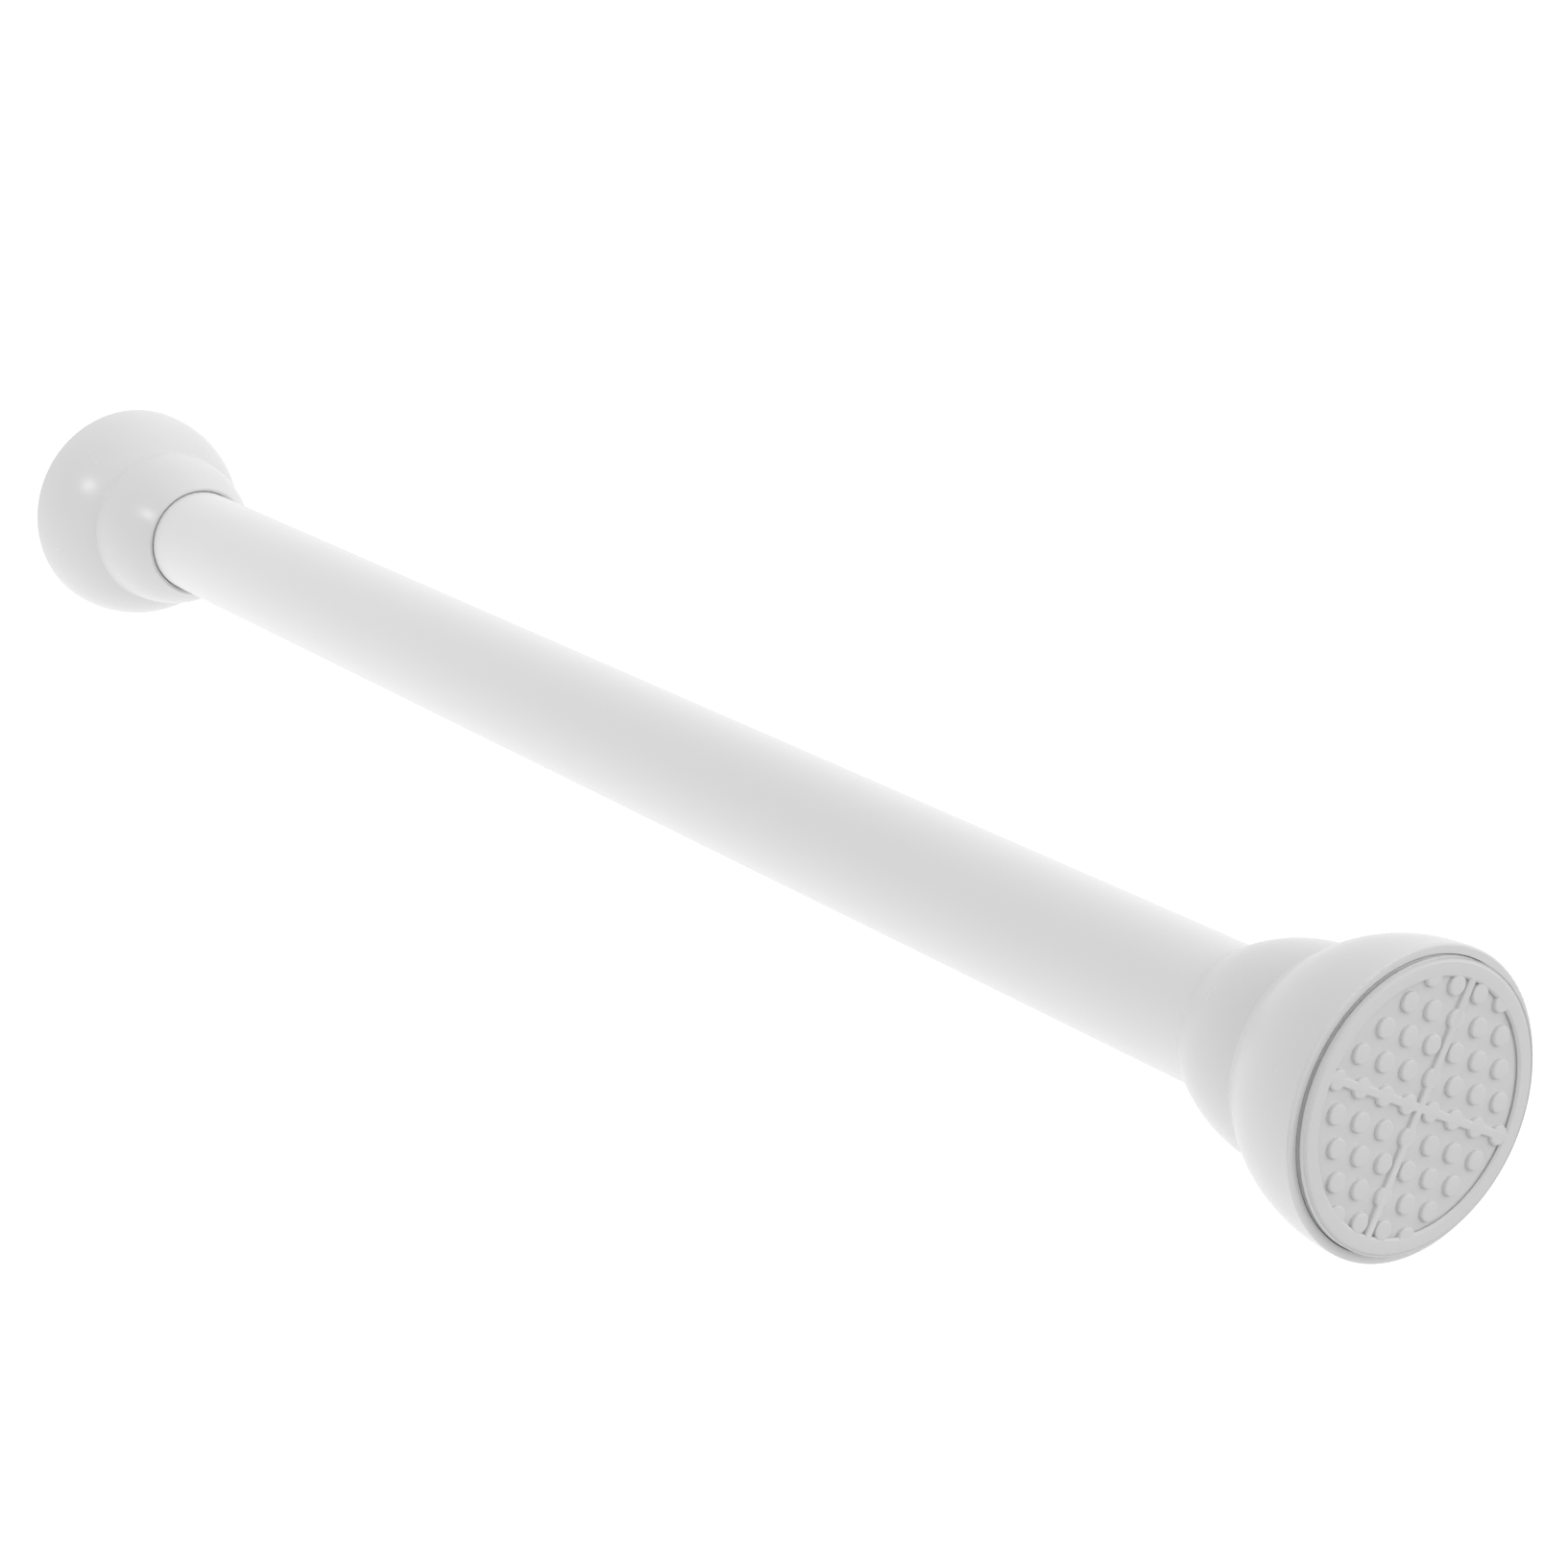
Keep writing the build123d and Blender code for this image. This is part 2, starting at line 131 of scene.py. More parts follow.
# %% [markdown]
# ## Finishes
#
# Every surface that shows on the closed rod is close to white, so the finishes differ by gloss and by fine
# texture more than by colour. Each one is a Principled shader with three layers of noise on Object
# coordinates: a broad one that shifts the colour a little, a middle one that varies the gloss, and a fine
# one that raises a bump. Object coordinates are metres here, so a noise of scale 1 / size has features of
# about that size.


# %% Define a finish
def make_finish(name, colour, shade, roughness, grain, height, blotch=30 * MM, metallic=0.0):
    """A surface that drifts between a colour and its shaded tone, with uneven gloss and a fine grain."""
    material = bpy.data.materials.new(name)
    material.use_nodes = True
    tree = material.node_tree
    shader = tree.nodes["Principled BSDF"]
    shader.inputs["Metallic"].default_value = metallic
    place = add(tree, "ShaderNodeTexCoord").outputs["Object"]

    # A Mix node has sockets for each kind of data, and for colours they are inputs 6 and 7 and output 2
    drift = add(tree, "ShaderNodeTexNoise", {"Vector": place, "Scale": 1 / blotch, "Detail": 2.0})
    paler = (*colour, 1.0)
    darker = (*[channel * shade for channel in colour], 1.0)
    tint = add(tree, "ShaderNodeMix", {0: drift.outputs["Fac"], 6: paler, 7: darker}, data_type="RGBA")
    tree.links.new(tint.outputs[2], shader.inputs["Base Color"])

    # The gloss changes eight times as often as the colour
    sheen = add(tree, "ShaderNodeTexNoise", {"Vector": place, "Scale": 8 / blotch, "Detail": 3.0})
    smoothest, roughest = roughness
    gloss = add(
        tree,
        "ShaderNodeMapRange",
        {"Value": sheen.outputs["Fac"], "To Min": smoothest, "To Max": roughest},
    )
    tree.links.new(gloss.outputs["Result"], shader.inputs["Roughness"])

    fine = add(tree, "ShaderNodeTexNoise", {"Vector": place, "Scale": 1 / grain, "Detail": 4.0})
    bump = add(
        tree,
        "ShaderNodeBump",
        {"Height": fine.outputs["Fac"], "Strength": 1.0, "Distance": height},
    )
    tree.links.new(bump.outputs["Normal"], shader.inputs["Normal"])
    print("finish:", name)
    return material


# %% Mix the white finishes
tube_paint = make_finish(
    "white_powder_coat",
    colour=(0.81, 0.81, 0.81),
    shade=0.985,
    roughness=(0.30, 0.38),
    grain=0.9 * MM,
    height=0.002 * MM,
)
cap_plastic = make_finish(
    "white_moulded_plastic",
    colour=(0.73, 0.73, 0.73),
    shade=0.985,
    roughness=(0.23, 0.29),
    grain=0.5 * MM,
    height=0.001 * MM,
)
pad_rubber = make_finish(
    "white_soft_rubber",
    colour=(0.70, 0.70, 0.70),
    shade=0.97,
    roughness=(0.62, 0.74),
    grain=0.35 * MM,
    height=0.008 * MM,
)

# %% Mix the plastics inside the tubes
plug_plastic = make_finish(
    "natural_moulded_plastic",
    colour=(0.70, 0.70, 0.67),
    shade=0.96,
    roughness=(0.40, 0.50),
    grain=0.6 * MM,
    height=0.006 * MM,
)
lock_plastic = make_finish(
    "natural_nylon",
    colour=(0.66, 0.64, 0.58),
    shade=0.95,
    roughness=(0.36, 0.46),
    grain=0.6 * MM,
    height=0.006 * MM,
)
liner_plastic = make_finish(
    "white_liner_plastic",
    colour=(0.76, 0.76, 0.75),
    shade=0.98,
    roughness=(0.30, 0.38),
    grain=0.6 * MM,
    height=0.004 * MM,
)

# %% Mix the steels inside the tubes
zinc_steel = make_finish(
    "zinc_plated_steel",
    colour=(0.62, 0.63, 0.65),
    shade=0.88,
    roughness=(0.22, 0.38),
    grain=0.4 * MM,
    height=0.004 * MM,
    blotch=6 * MM,
    metallic=1.0,
)
spring_steel = make_finish(
    "drawn_spring_steel",
    colour=(0.40, 0.40, 0.41),
    shade=0.85,
    roughness=(0.28, 0.45),
    grain=0.3 * MM,
    height=0.004 * MM,
    blotch=4 * MM,
    metallic=1.0,
)

# %% [markdown]
# ## Dress the solid pieces
#
# The tubes, caps and most of the mechanism have their true shape already, so they only need their finish.
# A piece's material slot on the rod's record says which finish it takes, so one table from slot to finish
# dresses them all.

# %% Give every solid piece its finish
finishes = {
    "outer_tube_paint": tube_paint,
    "inner_tube_paint": tube_paint,
    "cap_plastic": cap_plastic,
    "pad_rubber": pad_rubber,
    "plug_plastic": plug_plastic,
    "lock_plastic": lock_plastic,
    "liner_plastic": liner_plastic,
    "steel": zinc_steel,
    "spring_steel": spring_steel,
}
for subpart in frame["record"]["subparts"]:
    mesh = frame["nodes"][subpart["node"]].data
    mesh.materials.clear()
    mesh.materials.append(finishes[subpart["material_slot"]])

# %% [markdown]
# ## Helpers for Geometry Nodes
#
# A tree gets one named input for each size, so the same tree can be read and changed like a drawing with
# dimensions. A Geometry Nodes modifier stores its inputs under the sockets' identifiers, so the helper looks
# those up by name. The evaluated result is copied into a plain mesh, moved to its place, and given to the
# object once its modifier is gone.

# %% Open and close a tree
socket_kinds = {
    float: "NodeSocketFloat",
    int: "NodeSocketInt",
    bpy.types.Material: "NodeSocketMaterial",
}
smooth_angle = math.radians(35)


def new_tree(name, sizes):
    """A Geometry Nodes tree with a named input for each size, and one geometry output."""
    tree = bpy.data.node_groups.new(name, "GeometryNodeTree")
    for label, value in sizes.items():
        tree.interface.new_socket(label, in_out="INPUT", socket_type=socket_kinds[type(value)])
    tree.interface.new_socket("Geometry", in_out="OUTPUT", socket_type="NodeSocketGeometry")
    return tree, tree.nodes.new("NodeGroupInput").outputs


def close_tree(tree, mesh, material):
    """Ends a tree: rounded edges shade smooth, sharp ones stay sharp, and the material is set."""
    smooth = add(tree, "GeometryNodeSetShadeSmooth", {"Geometry": mesh, "Shade Smooth": True})
    angle = add(tree, "GeometryNodeInputMeshEdgeAngle").outputs["Unsigned Angle"]
    soft = add(tree, "FunctionNodeCompare", {"A": angle, "B": smooth_angle}, operation="LESS_THAN")
    edges = add(
        tree,
        "GeometryNodeSetShadeSmooth",
        {"Geometry": smooth.outputs[0], "Shade Smooth": soft.outputs[0]},
        domain="EDGE",
    )
    realized = add(tree, "GeometryNodeRealizeInstances", {"Geometry": edges.outputs[0]})
    painted = add(
        tree,
        "GeometryNodeSetMaterial",
        {"Geometry": realized.outputs[0], "Material": material},
    )
    output = tree.nodes.new("NodeGroupOutput")
    tree.links.new(painted.outputs[0], output.inputs["Geometry"])
    print(tree.name, "has", len(tree.nodes), "nodes")


# %% Turn a tree into a plain mesh
def bake_tree(name, tree, sizes, place):
    """Runs a tree with its sizes and returns its result as a plain mesh object, moved to its place."""
    holder = bpy.data.objects.new(name, bpy.data.meshes.new(name))
    bpy.context.scene.collection.objects.link(holder)
    modifier = holder.modifiers.new("shape", "NODES")
    modifier.node_group = tree
    for item in tree.interface.items_tree:
        if item.in_out == "INPUT":
            modifier[item.identifier] = sizes[item.name]
    depsgraph = bpy.context.evaluated_depsgraph_get()
    mesh = bpy.data.meshes.new_from_object(holder.evaluated_get(depsgraph), depsgraph=depsgraph)
    holder.modifiers.remove(modifier)
    mesh.transform(place)
    mesh.name = name
    holder.data = mesh
    print(name, "has", len(mesh.polygons), "faces")
    return holder


# %% [markdown]
# ## Wall pads
#
# A soft round pad sits in each cap and grips the wall. Its face has a border, two crossed ribs and rows of
# round studs between them, all level with each other above a sunk field. It could be modelled by hand, but
# every part of it follows a rule, so one tree makes it, with the pad lying flat and its face at height zero.
# Where the pad stands out of its cap, a shallow neck under the border leaves a dark line around it: the
# border is a lip, the base below is as wide as the lip, and the field between them is narrower.

# %% Measure the pads
pad_low, pad_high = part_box("outer_pad")
pad_radius = (pad_high.z - pad_low.z) / 2
pad_sizes = {
    "Pad radius": pad_radius,
    "Thickness": pad_high.x - pad_low.x,
    "Border": 2.75 * MM,
    "Lip": 0.75 * MM,
    "Neck": 0.5 * MM,
    "Proud": 1.4 * MM,
    "Border bevel": 0.6 * MM,
    "Relief": 0.7 * MM,
    "Rib width": 1.3 * MM,
    "Stud radius": 1.5 * MM,
    "Stud pitch": 5.0 * MM,
    "Edge round": 0.32 * MM,
    "Weld": 0.02 * MM,
    "Columns": 10,
    "Rows": 5,
    "Rubber": pad_rubber,
}
pad_turn = math.radians(-27.0)
ring_steps = 192
print("pad is", round(2 * pad_radius / MM, 1), "mm across")

# %% Open the pad's tree
pad_tree, pad_size = new_tree("studded_wall_pad", pad_sizes)


def pad_sum(operation, *values):
    """The output of a Math node in the pad's tree."""
    return calc(pad_tree, operation, *values)


def point_parts():
    """The X, Y and Z of the point that the pad's tree is working on."""
    point = add(pad_tree, "GeometryNodeInputPosition").outputs[0]
    return add(pad_tree, "ShaderNodeSeparateXYZ", {0: point}).outputs


def rounded(curve, steps, radius):
    """A curve with each corner rounded in a few steps."""
    corners = {"Curve": curve, "Count": steps, "Radius": radius}
    return add(pad_tree, "GeometryNodeFilletCurve", corners, mode="POLY").outputs[0]


def lowered(mesh, depth):
    """A mesh moved down by a depth."""
    place = add(pad_tree, "ShaderNodeCombineXYZ", {"Z": pad_sum("MULTIPLY", depth, -1.0)})
    move = {"Geometry": mesh, "Translation": place.outputs[0]}
    return add(pad_tree, "GeometryNodeTransform", move).outputs[0]


print("the pad's tree takes", len(pad_sizes), "inputs")

# %% Sweep the border
half_border = pad_sum("MULTIPLY", pad_size["Border"], 0.5)
border_reach = pad_sum("SUBTRACT", pad_size["Pad radius"], half_border)
border_path = add(
    pad_tree,
    "GeometryNodeCurvePrimitiveCircle",
    {"Resolution": ring_steps, "Radius": border_reach},
)
border_block = add(
    pad_tree,
    "GeometryNodeCurvePrimitiveQuadrilateral",
    {"Width": pad_size["Border"], "Height": pad_size["Lip"]},
)

# A fillet of one step is a bevel, wider at the outer edge of the face, and a second fillet softens it
corner = point_parts()
is_outer = pad_sum("GREATER_THAN", corner["X"], 0.0)
is_front = pad_sum("LESS_THAN", corner["Y"], 0.0)
is_rim = pad_sum("MULTIPLY", is_outer, is_front)
wider = pad_sum("SUBTRACT", pad_size["Border bevel"], pad_size["Edge round"])
bevel = pad_sum("MULTIPLY_ADD", is_rim, wider, pad_size["Edge round"])
half_round = pad_sum("MULTIPLY", pad_size["Edge round"], 0.5)
border_section = rounded(rounded(border_block.outputs[0], 1, bevel), 3, half_round)
border = add(
    pad_tree,
    "GeometryNodeCurveToMesh",
    {"Curve": border_path.outputs[0], "Profile Curve": border_section},
)
border_set = lowered(border.outputs[0], pad_sum("MULTIPLY", pad_size["Lip"], 0.5))
print("border is", round(pad_sizes["Border"] / MM, 2), "mm wide")


# %% Lay the base and the field
def disc(radius, top, depth):
    """A round plate whose top lies at a depth below the face."""
    plate = {"Vertices": ring_steps, "Radius": radius, "Depth": depth}
    mesh = add(pad_tree, "GeometryNodeMeshCylinder", plate).outputs[0]
    return lowered(mesh, pad_sum("MULTIPLY_ADD", depth, 0.5, top))


base_depth = pad_sum("SUBTRACT", pad_size["Thickness"], pad_size["Proud"])
base_set = disc(pad_size["Pad radius"], pad_size["Proud"], base_depth)
field_radius = pad_sum("SUBTRACT", pad_size["Pad radius"], pad_size["Neck"])
below_face = pad_sum("SUBTRACT", pad_size["Thickness"], pad_size["Relief"])
field_depth = pad_sum("SUBTRACT", below_face, pad_size["Weld"])
field_set = disc(field_radius, pad_size["Relief"], field_depth)
print("field is sunk by", round(pad_sizes["Relief"] / MM, 2), "mm")

# %% [markdown]
# ### Ribs and studs
#
# Two ribs cross in the middle of the face, and the studs between them bite into the wall's surface. A rib is
# a rounded block swept along a line. A stud could be a cylinder with a Bevel modifier, but a tree has no such
# node, so the rings of a plain cylinder are moved onto a quarter circle instead. Two grids of points, shifted
# by half a pitch, make the staggered rows, and an instance on each point inside the border makes a stud. Ribs
# and studs end a hair below the border, each at its own height, because a union of faces that lie in one
# plane can leave torn edges.

# %% Add the crossed ribs
rib_height = pad_sum("MULTIPLY", pad_size["Relief"], 2.0)
rib_block = add(
    pad_tree,
    "GeometryNodeCurvePrimitiveQuadrilateral",
    {"Width": pad_size["Rib width"], "Height": rib_height},
)
rib_section = rounded(rib_block.outputs[0], 4, pad_size["Edge round"])
rib_sink = pad_sum("MULTIPLY", pad_size["Weld"], -1.0)
rib_middle = pad_sum("MULTIPLY_ADD", rib_height, -0.5, rib_sink)
back_reach = pad_sum("MULTIPLY", border_reach, -1.0)
ribs = []
for axis, lift in (("X", 0.0), ("Y", 0.5)):
    rib_level = pad_sum("MULTIPLY_ADD", pad_size["Weld"], lift, rib_middle)
    rib_start = add(pad_tree, "ShaderNodeCombineXYZ", {axis: back_reach, "Z": rib_level})
    rib_end = add(pad_tree, "ShaderNodeCombineXYZ", {axis: border_reach, "Z": rib_level})
    rib_path = add(
        pad_tree,
        "GeometryNodeCurvePrimitiveLine",
        {"Start": rib_start.outputs[0], "End": rib_end.outputs[0]},
    )
    rib = add(
        pad_tree,
        "GeometryNodeCurveToMesh",
        {"Curve": rib_path.outputs[0], "Profile Curve": rib_section, "Fill Caps": True},
    )
    ribs.append(rib.outputs[0])
print(len(ribs), "ribs cross the face")

# %% Shape one stud
stud_sides = 40
stud_rings = 6
stud_height = pad_sum("MULTIPLY", pad_size["Relief"], 2.0)
stud_block = add(
    pad_tree,
    "GeometryNodeMeshCylinder",
    {
        "Vertices": stud_sides,
        "Side Segments": stud_rings,
        "Radius": pad_size["Stud radius"],
        "Depth": stud_height,
    },
)

# Above the lowest ring, each ring drops and narrows along a quarter circle
stud_point = point_parts()
stud_share = pad_sum("ADD", pad_sum("DIVIDE", stud_point["Z"], stud_height), 0.5)
bend = add(
    pad_tree,
    "ShaderNodeMapRange",
    {"Value": stud_share, "From Min": 1 / stud_rings, "From Max": 1.0, "To Max": math.pi / 2},
).outputs["Result"]
drop = pad_sum("SUBTRACT", 1.0, pad_sum("SINE", bend))
inset = pad_sum("SUBTRACT", 1.0, pad_sum("COSINE", bend))
round_share = pad_sum("DIVIDE", pad_size["Edge round"], pad_size["Stud radius"])
narrow = pad_sum("SUBTRACT", 1.0, pad_sum("MULTIPLY", inset, round_share))
is_side = pad_sum("GREATER_THAN", stud_share, 0.5 / stud_rings)
round_down = pad_sum("MULTIPLY", pad_size["Edge round"], -1.0)
shoulder = pad_sum("MULTIPLY_ADD", drop, round_down, stud_height)
stud_level = pad_sum("SUBTRACT", pad_sum("MULTIPLY", shoulder, is_side), stud_height)
stud_sink = pad_sum("MULTIPLY", pad_size["Weld"], 1.5)
stud_place = add(
    pad_tree,
    "ShaderNodeCombineXYZ",
    {
        "X": pad_sum("MULTIPLY", stud_point["X"], narrow),
        "Y": pad_sum("MULTIPLY", stud_point["Y"], narrow),
        "Z": pad_sum("SUBTRACT", stud_level, stud_sink),
    },
)
stud = add(
    pad_tree,
    "GeometryNodeSetPosition",
    {"Geometry": stud_block.outputs["Mesh"], "Position": stud_place.outputs[0]},
)
print("a stud has", stud_sides, "sides")

# %% Set the studs in staggered rows
row_pitch = pad_sum("MULTIPLY", pad_size["Stud pitch"], math.sqrt(3) / 2)
double_row = pad_sum("MULTIPLY", row_pitch, 2.0)
lattice = add(pad_tree, "GeometryNodeJoinGeometry")
for fewer in (0.0, 1.0):
    columns = pad_sum("SUBTRACT", pad_size["Columns"], fewer)
    rows = pad_sum("SUBTRACT", pad_size["Rows"], fewer)
    grid_width = pad_sum("MULTIPLY", pad_sum("SUBTRACT", columns, 1.0), pad_size["Stud pitch"])
    grid_height = pad_sum("MULTIPLY", pad_sum("SUBTRACT", rows, 1.0), double_row)
    stud_grid = add(
        pad_tree,
        "GeometryNodeMeshGrid",
        {"Size X": grid_width, "Size Y": grid_height, "Vertices X": columns, "Vertices Y": rows},
    )
    pad_tree.links.new(stud_grid.outputs["Mesh"], lattice.inputs[0])

# A stud whose middle lies just under the border still shows in part, so the limit is past the border's edge
grid_point = add(pad_tree, "GeometryNodeInputPosition").outputs[0]
from_centre = add(pad_tree, "ShaderNodeVectorMath", {0: grid_point}, operation="LENGTH")
inside_border = pad_sum("SUBTRACT", pad_size["Pad radius"], pad_size["Border"])
stud_limit = pad_sum("MULTIPLY_ADD", pad_size["Stud radius"], 0.5, inside_border)
studs = add(
    pad_tree,
    "GeometryNodeInstanceOnPoints",
    {
        "Points": lattice.outputs[0],
        "Selection": pad_sum("LESS_THAN", from_centre.outputs["Value"], stud_limit),
        "Instance": stud.outputs[0],
    },
)
stud_field = add(pad_tree, "GeometryNodeRealizeInstances", {"Geometry": studs.outputs[0]}).outputs[0]
print("studs stand", round(pad_sizes["Stud pitch"] / MM, 1), "mm apart")

# %% [markdown]
# ### One skin, two pads
#
# A real pad is one moulding, so a union welds border, base, field, ribs and studs into one closed skin, and
# no hidden faces are left inside. Both caps carry the same pad. Its place is worked into the mesh: the face
# looks along the rod, away from it, and the rows of studs are turned as they are on the near cap.

# %% Weld the pad and make one for each cap
weld = add(pad_tree, "GeometryNodeMeshBoolean", operation="UNION", solver="MANIFOLD")
for piece in (border_set, base_set, field_set, *ribs, stud_field):
    pad_tree.links.new(piece, weld.inputs["Mesh 2"])
close_tree(pad_tree, weld.outputs["Mesh"], pad_size["Rubber"])

wall_sides = {"outer": 1.0, "inner": -1.0}
for body, outward in wall_sides.items():
    low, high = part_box(body + "_pad")
    face_x = high.x if outward > 0 else low.x
    sideways = Vector((0.0, outward, 0.0))
    upwards = Vector((0.0, 0.0, 1.0))
    facing = Vector((outward, 0.0, 0.0))
    turned = Matrix((sideways, upwards, facing)).transposed().to_4x4()
    place = Matrix.Translation((face_x, 0.0, 0.0)) @ turned @ Matrix.Rotation(pad_turn, 4, "Z")
    pad = bake_tree(body + "_studded_pad", pad_tree, pad_sizes, place)
    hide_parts(body + "_pad")
    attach(pad, body)

# %% [markdown]
# ## Pressure spring
#
# The spring in the thin tube is a helix, which is a rule as well: along a straight line of points, the angle
# grows evenly and the points move out to the coil's radius. The first and last turns lie close together, as
# on a real compression spring, so the advance has three parts. A round section swept along the points makes
# the wire.

# %% Measure the spring
spring_low, spring_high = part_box("pressure_spring")
spring_sizes = {
    "Length": spring_high.x - spring_low.x,
    "Coil radius": 6.6 * MM,
    "Wire radius": 0.9 * MM,
    "End pitch": 1.9 * MM,
    "Turns": 8,
    "Steps a turn": 48,
    "Steel": spring_steel,
}
wire_sides = 16
print("spring is", round(spring_sizes["Length"] / MM, 1), "mm long")

# %% Lay out the coil's points
coil_tree, coil_size = new_tree("pressure_coil", spring_sizes)


def coil_sum(operation, *values):
    """The output of a Math node in the coil's tree."""
    return calc(coil_tree, operation, *values)


steps = coil_sum("MULTIPLY", coil_size["Turns"], coil_size["Steps a turn"])
straight = add(coil_tree, "GeometryNodeCurvePrimitiveLine", {"End": (1.0, 0.0, 0.0)})
stations = add(coil_tree, "GeometryNodeResampleCurve", {"Curve": straight.outputs[0], "Count": steps})
coil_share = add(coil_tree, "GeometryNodeSplineParameter").outputs["Factor"]
turn = coil_sum("MULTIPLY", coil_share, coil_size["Turns"])
print("coil has", spring_sizes["Turns"] * spring_sizes["Steps a turn"], "points")

# %% Advance slowly at both ends
middle_turns = coil_sum("SUBTRACT", coil_size["Turns"], 2.0)
past_first = coil_sum("MAXIMUM", coil_sum("SUBTRACT", turn, 1.0), 0.0)
open_turn = coil_sum("MINIMUM", past_first, middle_turns)
end_turn = coil_sum("SUBTRACT", turn, open_turn)
end_pitches = coil_sum("MULTIPLY", coil_size["End pitch"], 2.0)
end_length = coil_sum("MULTIPLY_ADD", coil_size["Wire radius"], 2.0, end_pitches)
open_length = coil_sum("SUBTRACT", coil_size["Length"], end_length)
open_pitch = coil_sum("DIVIDE", open_length, middle_turns)
open_advance = coil_sum("MULTIPLY_ADD", open_turn, open_pitch, coil_size["Wire radius"])
advance = coil_sum("MULTIPLY_ADD", end_turn, coil_size["End pitch"], open_advance)
print("end turns lie", round(spring_sizes["End pitch"] / MM, 1), "mm apart")

# %% Wind the wire
coil_angle = coil_sum("MULTIPLY", turn, 2 * math.pi)
coil_point = add(
    coil_tree,
    "ShaderNodeCombineXYZ",
    {
        "X": advance,
        "Y": coil_sum("MULTIPLY", coil_sum("SINE", coil_angle), coil_size["Coil radius"]),
        "Z": coil_sum("MULTIPLY", coil_sum("COSINE", coil_angle), coil_size["Coil radius"]),
    },
)
coil_path = add(
    coil_tree,
    "GeometryNodeSetPosition",
    {"Geometry": stations.outputs[0], "Position": coil_point.outputs[0]},
)
wire_section = add(
    coil_tree,
    "GeometryNodeCurvePrimitiveCircle",
    {"Resolution": wire_sides, "Radius": coil_size["Wire radius"]},
)
wire = add(
    coil_tree,
    "GeometryNodeCurveToMesh",
    {"Curve": coil_path.outputs[0], "Profile Curve": wire_section.outputs[0], "Fill Caps": True},
)
close_tree(coil_tree, wire.outputs[0], coil_size["Steel"])

# %% Put the spring in the thin tube
spring = bake_tree("pressure_coil", coil_tree, spring_sizes, Matrix.Translation((spring_low.x, 0.0, 0.0)))
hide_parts("pressure_spring")
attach(spring, "inner")
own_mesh(spring)

# %% [markdown]
# ## Photo tent
#
# White things on white are photographed in a tent: light comes from all round, more of it from the back and
# from the table below than from the camera's side, so the middle of the tube is grey and both its edges fade
# into the background. The world does the tent. What the camera and mirrors see of it is plain white, and what
# lights the rod is a slope from a bright back to a dimmer front.


# %% Build the tent
def seen_rays(tree):
    """1 for what is seen directly, in a gloss or through glass, and 0 for light that falls on the rod."""
    path = add(tree, "ShaderNodeLightPath").outputs
    seen = calc(tree, "MAXIMUM", path["Is Camera Ray"], path["Is Glossy Ray"])
    return calc(tree, "MAXIMUM", seen, path["Is Transmission Ray"])


tent_level = 0.91
tent_slope = (-0.02, 0.40, 0.02)
pure_white = (1.0, 1.0, 1.0, 1.0)
world = bpy.data.worlds.new("white_tent")
bpy.context.scene.world = world
world.use_nodes = True
sky = world.node_tree
sky.nodes.clear()
direction = add(sky, "ShaderNodeTexCoord").outputs["Generated"]
slope = add(sky, "ShaderNodeVectorMath", {0: direction, 1: tent_slope}, operation="DOT_PRODUCT")
tent_glow = calc(sky, "ADD", slope.outputs["Value"], tent_level)
tent = add(sky, "ShaderNodeBackground", {"Color": pure_white, "Strength": tent_glow})
backdrop = add(sky, "ShaderNodeBackground", {"Color": pure_white, "Strength": 1.0})
mixed = add(sky, "ShaderNodeMixShader", {0: seen_rays(sky), 1: tent.outputs[0], 2: backdrop.outputs[0]})
add(sky, "ShaderNodeOutputWorld", {"Surface": mixed.outputs[0]})
print("tent light:", tent_level, "with a slope of", round(Vector(tent_slope).length, 2))

# %% [markdown]
# ## Floor
#
# The floor lies well below the rod, which hangs between two walls in use. It could be a plain white plane,
# but then the underside of the tube would turn grey. So it glows as a light table does, and the glow fades
# out towards the front, which keeps the edges of the near cap darker than its sides.

# %% Lay the floor
floor_drop = 0.9
floor_reach = 40.0
floor_mesh = bpy.data.meshes.new("pale_floor")
floor_sides = ((-1, -1), (1, -1), (1, 1), (-1, 1))
floor_corners = [(x * floor_reach, y * floor_reach, -floor_drop) for x, y in floor_sides]
floor_mesh.from_pydata(floor_corners, [], [(0, 1, 2, 3)])
floor = bpy.data.objects.new("pale_floor", floor_mesh)
bpy.context.scene.collection.objects.link(floor)
print("floor lies", floor_drop, "m below the rod's axis")

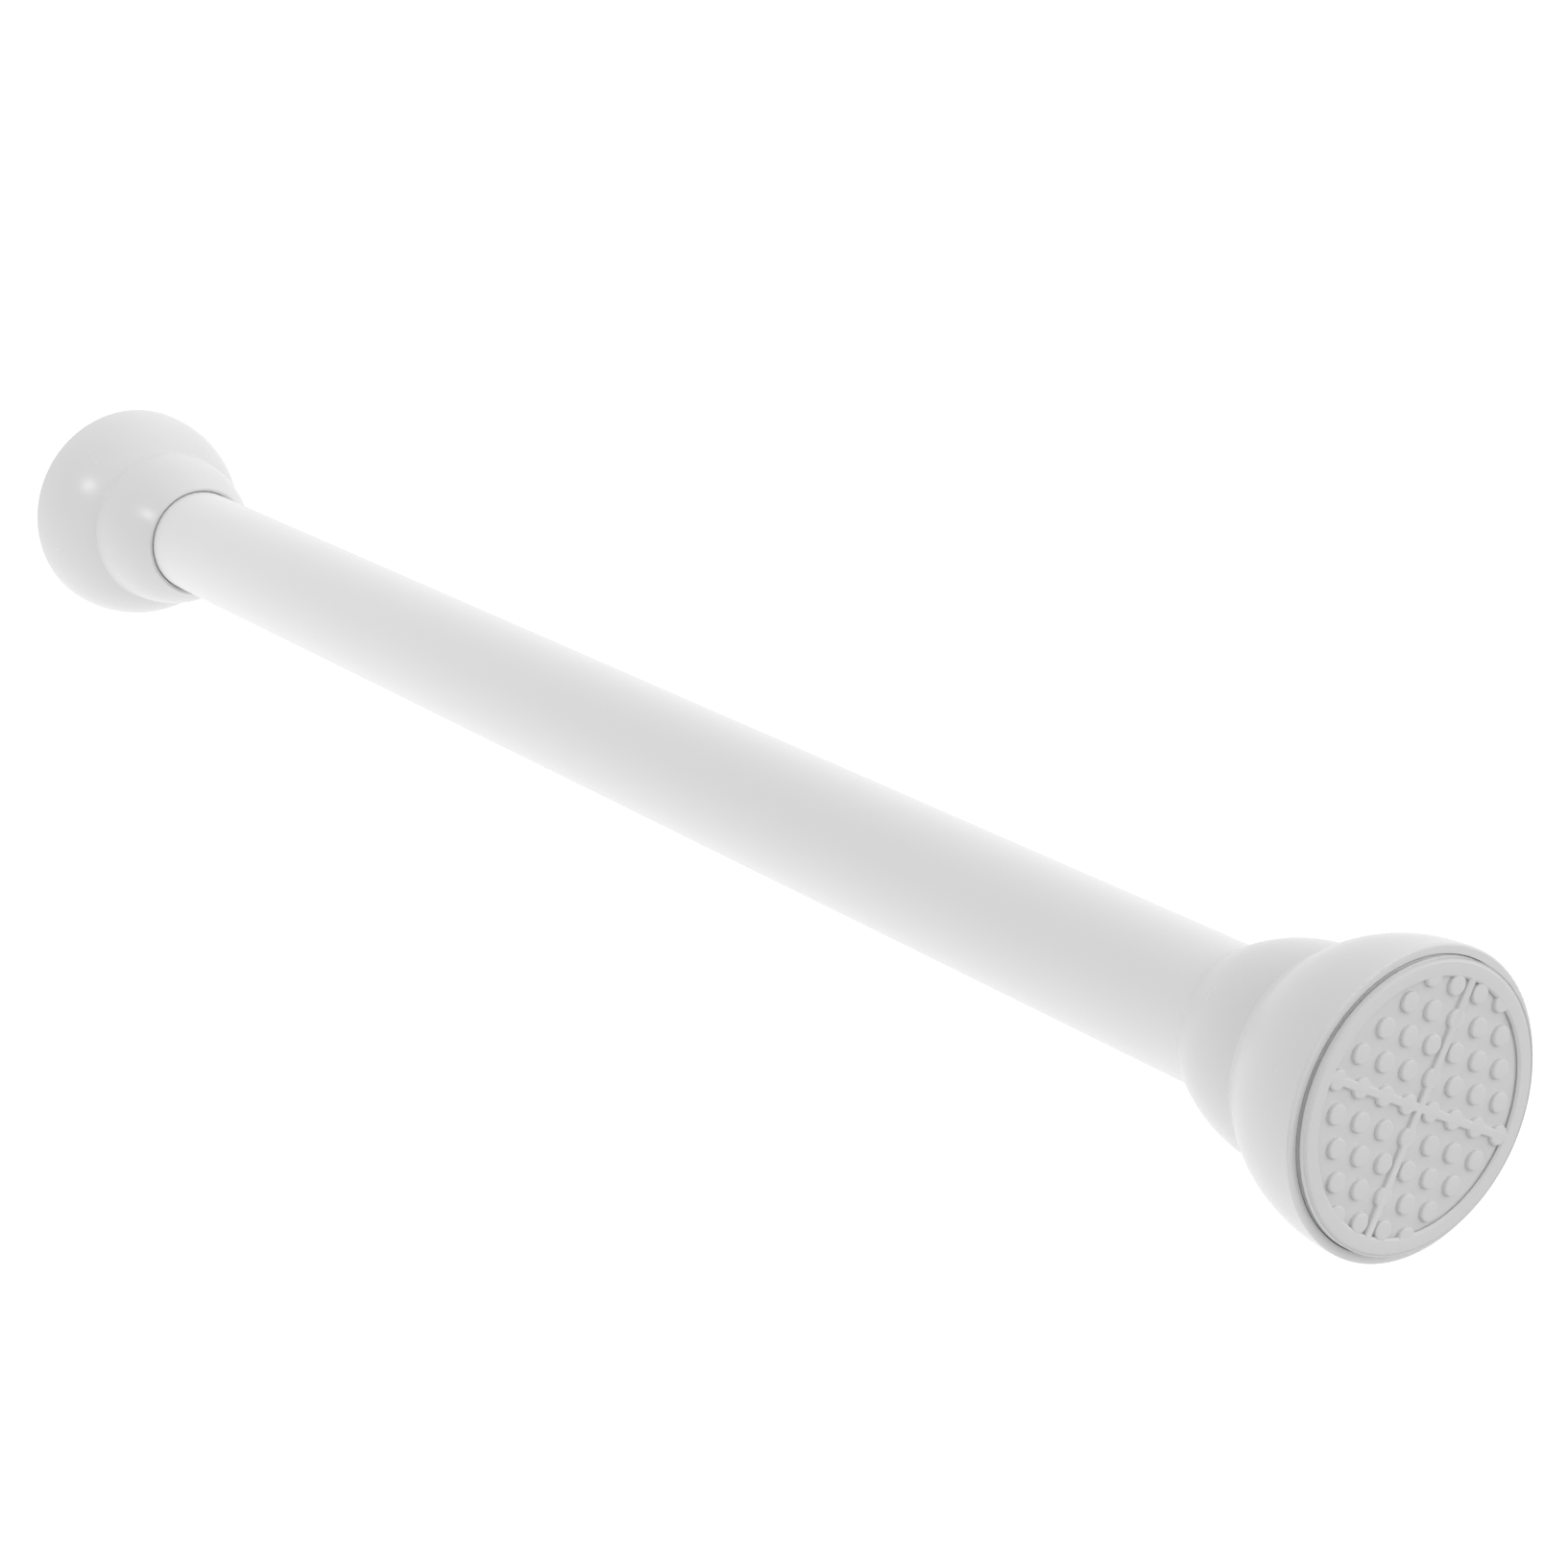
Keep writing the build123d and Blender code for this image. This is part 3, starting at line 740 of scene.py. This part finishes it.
# %% Light the floor from below
floor_colour = (0.35, 0.35, 0.35, 1.0)
floor_glow = (0.92, 0.02)
floor_fade = (0.5, 1.0)
floor_front = (0.9, 0.43, 0.0)
floor_white = 0.75
floor_paint = bpy.data.materials.new("pale_floor")
floor_paint.use_nodes = True
ground = floor_paint.node_tree
ground.nodes.clear()
matte = add(ground, "ShaderNodeBsdfDiffuse", {"Color": floor_colour})
floor_point = add(ground, "ShaderNodeTexCoord").outputs["Object"]
forward = add(ground, "ShaderNodeVectorMath", {0: floor_point, 1: floor_front}, operation="DOT_PRODUCT")
floor_light = add(
    ground,
    "ShaderNodeMapRange",
    {
        "Value": forward.outputs["Value"],
        "From Min": floor_fade[0],
        "From Max": floor_fade[1],
        "To Min": floor_glow[0],
        "To Max": floor_glow[1],
    },
    interpolation_type="SMOOTHSTEP",
).outputs["Result"]
missing = calc(ground, "SUBTRACT", floor_white, floor_light)
shown = calc(ground, "MULTIPLY_ADD", seen_rays(ground), missing, floor_light)
table_light = add(ground, "ShaderNodeEmission", {"Strength": shown})
both = add(ground, "ShaderNodeAddShader", {0: matte.outputs[0], 1: table_light.outputs[0]})
add(ground, "ShaderNodeOutputMaterial", {"Surface": both.outputs[0]})
floor_mesh.materials.append(floor_paint)
print("floor glows with", floor_glow[0], "and fades to", floor_glow[1])

# %% [markdown]
# ## Lamps
#
# A tent alone gives no shadows, and the studs of the pad would hardly show. A soft lamp in front of the near
# cap, to the right and above, gives each stud a short shadow at its lower left. A much weaker one beside the
# rod puts a round highlight on each step of the far cap, and its narrow beam keeps it off the near half. Both
# are small next to the tent's light, and the camera doesn't see them.


# %% Hang two soft lamps
def hang_lamp(name, aim, toward_lamp, distance, width, beam, power):
    """A round lamp that shines on a point from a direction, with its beam as an angle in degrees."""
    lamp_data = bpy.data.lights.new(name, "AREA")
    lamp_data.shape = "DISK"
    lamp_data.size = width
    lamp_data.spread = math.radians(beam)
    lamp_data.energy = power
    lamp = bpy.data.objects.new(name, lamp_data)
    lamp.location = aim + toward_lamp.normalized() * distance
    lamp.rotation_euler = (-toward_lamp).to_track_quat("-Z", "Y").to_euler()
    lamp.visible_camera = False
    bpy.context.scene.collection.objects.link(lamp)
    print(name, power, "W at", distance, "m")


hang_lamp(
    "front_lamp",
    aim=Vector((solid_high.x, 0.0, 0.0)),
    toward_lamp=Vector((0.83, 0.42, 0.34)),
    distance=2.0,
    width=1.6,
    beam=180.0,
    power=8.0,
)
hang_lamp(
    "side_lamp",
    aim=Vector((solid_low.x, 0.0, 0.0)),
    toward_lamp=Vector((-0.08, -0.79, 0.55)),
    distance=0.9,
    width=0.18,
    beam=36.0,
    power=0.029,
)
